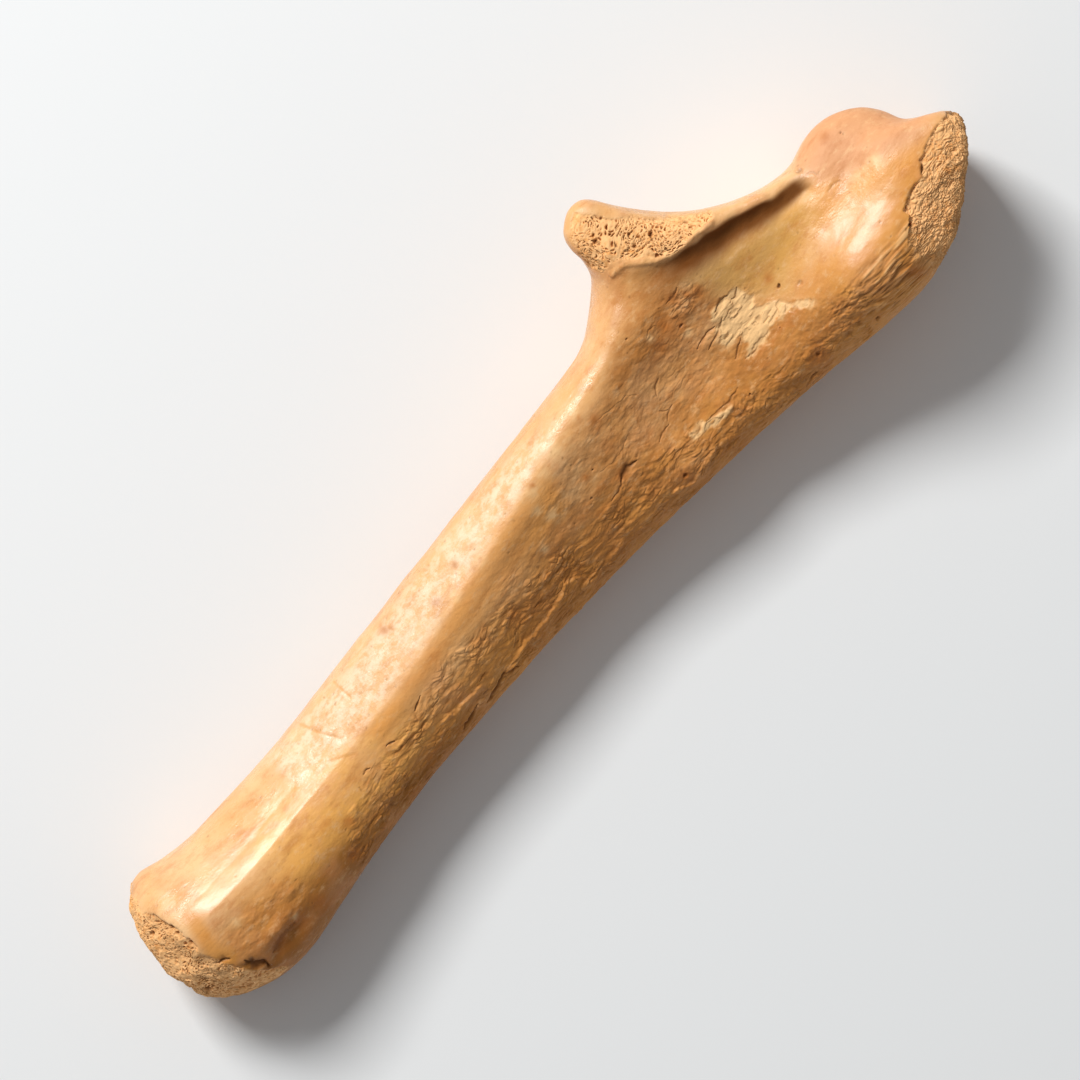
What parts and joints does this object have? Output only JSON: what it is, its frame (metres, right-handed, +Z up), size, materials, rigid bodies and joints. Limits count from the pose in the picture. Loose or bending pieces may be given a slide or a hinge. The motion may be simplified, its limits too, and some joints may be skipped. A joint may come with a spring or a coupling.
{
  "type": "fossil cave bear ulna",
  "caption": "Fossil forearm bone of a young cave bear, lying on its side, with a bare spongy growth face at each end and the open elbow notch.",
  "frame": {"origin": "centre of the bone's box, on the surface that it rests on", "axes": "+X towards the elbow end, +Y towards the front of the limb, where the elbow notch opens, +Z up, out of the medial side"},
  "size_m": [0.2586, 0.0702, 0.0421],
  "materials": {
    "bone": "ochre fossil bone under a thin glossy coat of hardener, matt and pitted on the bare spongy faces"
  },
  "bodies": {
    "root": {"ulna": "bone"}
  },
  "joints": []
}
